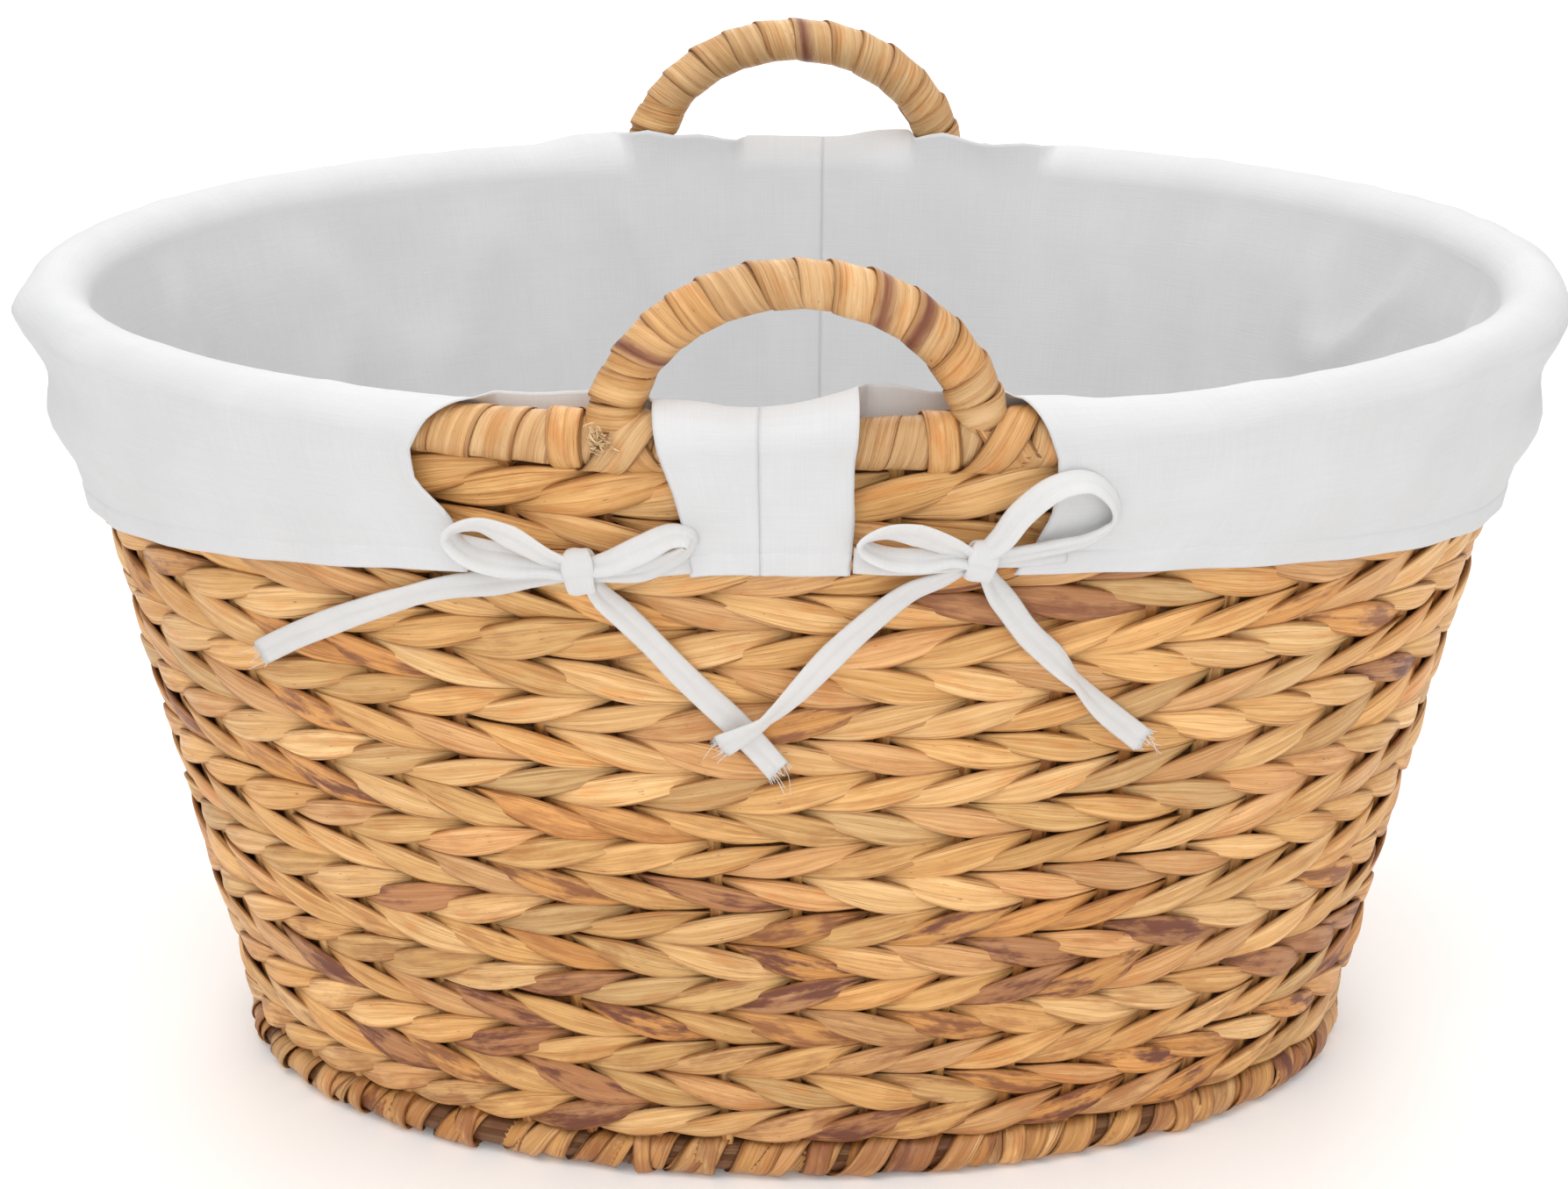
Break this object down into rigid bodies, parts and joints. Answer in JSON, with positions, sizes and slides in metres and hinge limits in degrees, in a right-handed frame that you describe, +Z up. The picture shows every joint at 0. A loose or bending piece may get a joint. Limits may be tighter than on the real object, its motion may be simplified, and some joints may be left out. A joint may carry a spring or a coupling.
{
  "type": "lined woven basket",
  "caption": "Oval basket of twined leaf strands with two wrapped arch handles and a removable white cotton liner, folded over the rim and tied with bows.",
  "frame": {"origin": "middle of the foot's underside, on the surface that the basket stands on", "axes": "+X along the long side, to the right as seen from the front; -Y towards the front handle; +Z up"},
  "size_m": [0.5412, 0.3816, 0.345],
  "materials": {
    "woven_straw": "dry twined water hyacinth leaf, satin, golden tan with brown fibres",
    "wrapped_straw": "flat leaf bands wound tight, satin",
    "foot_straw": "twisted leaf border, rough",
    "cane": "split cane, satin",
    "base_weave": "plain woven leaf mat, matt",
    "liner_cotton": "thin plain-woven white cotton, matt",
    "tie_cotton": "folded white cotton strip, matt"
  },
  "bodies": {
    "root": {"foot_border": "foot_straw", "base_hoop": "cane", "base_panel": "base_weave", "stake_cage": "cane", "weave_row_01": "woven_straw", "weave_row_02": "woven_straw", "weave_row_03": "woven_straw", "weave_row_04": "woven_straw", "weave_row_05": "woven_straw", "weave_row_06": "woven_straw", "weave_row_07": "woven_straw", "weave_row_08": "woven_straw", "weave_row_09": "woven_straw", "weave_row_10": "woven_straw", "weave_row_11": "woven_straw", "weave_row_12": "woven_straw", "weave_row_13": "woven_straw", "weave_row_14": "woven_straw", "weave_row_15": "woven_straw", "weave_row_16": "woven_straw", "weave_row_17": "woven_straw", "weave_row_18": "woven_straw", "weave_row_19": "woven_straw", "rim_wrap": "wrapped_straw", "handle_core_front": "cane", "handle_core_back": "cane", "handle_wrap_front": "wrapped_straw", "handle_wrap_back": "wrapped_straw", "handle_binding_front_left": "wrapped_straw", "handle_binding_front_right": "wrapped_straw", "handle_binding_back_left": "wrapped_straw", "handle_binding_back_right": "wrapped_straw", "liner_left_panel": "liner_cotton", "liner_right_panel": "liner_cotton", "liner_base_panel": "liner_cotton", "front_left_bow": "tie_cotton", "front_right_bow": "tie_cotton", "back_left_bow": "tie_cotton", "back_right_bow": "tie_cotton", "front_left_cuff_tie": "tie_cotton", "front_left_tab_tie": "tie_cotton", "front_right_tab_tie": "tie_cotton", "front_right_cuff_tie": "tie_cotton", "back_left_cuff_tie": "tie_cotton", "back_left_tab_tie": "tie_cotton", "back_right_tab_tie": "tie_cotton", "back_right_cuff_tie": "tie_cotton"}
  },
  "joints": []
}
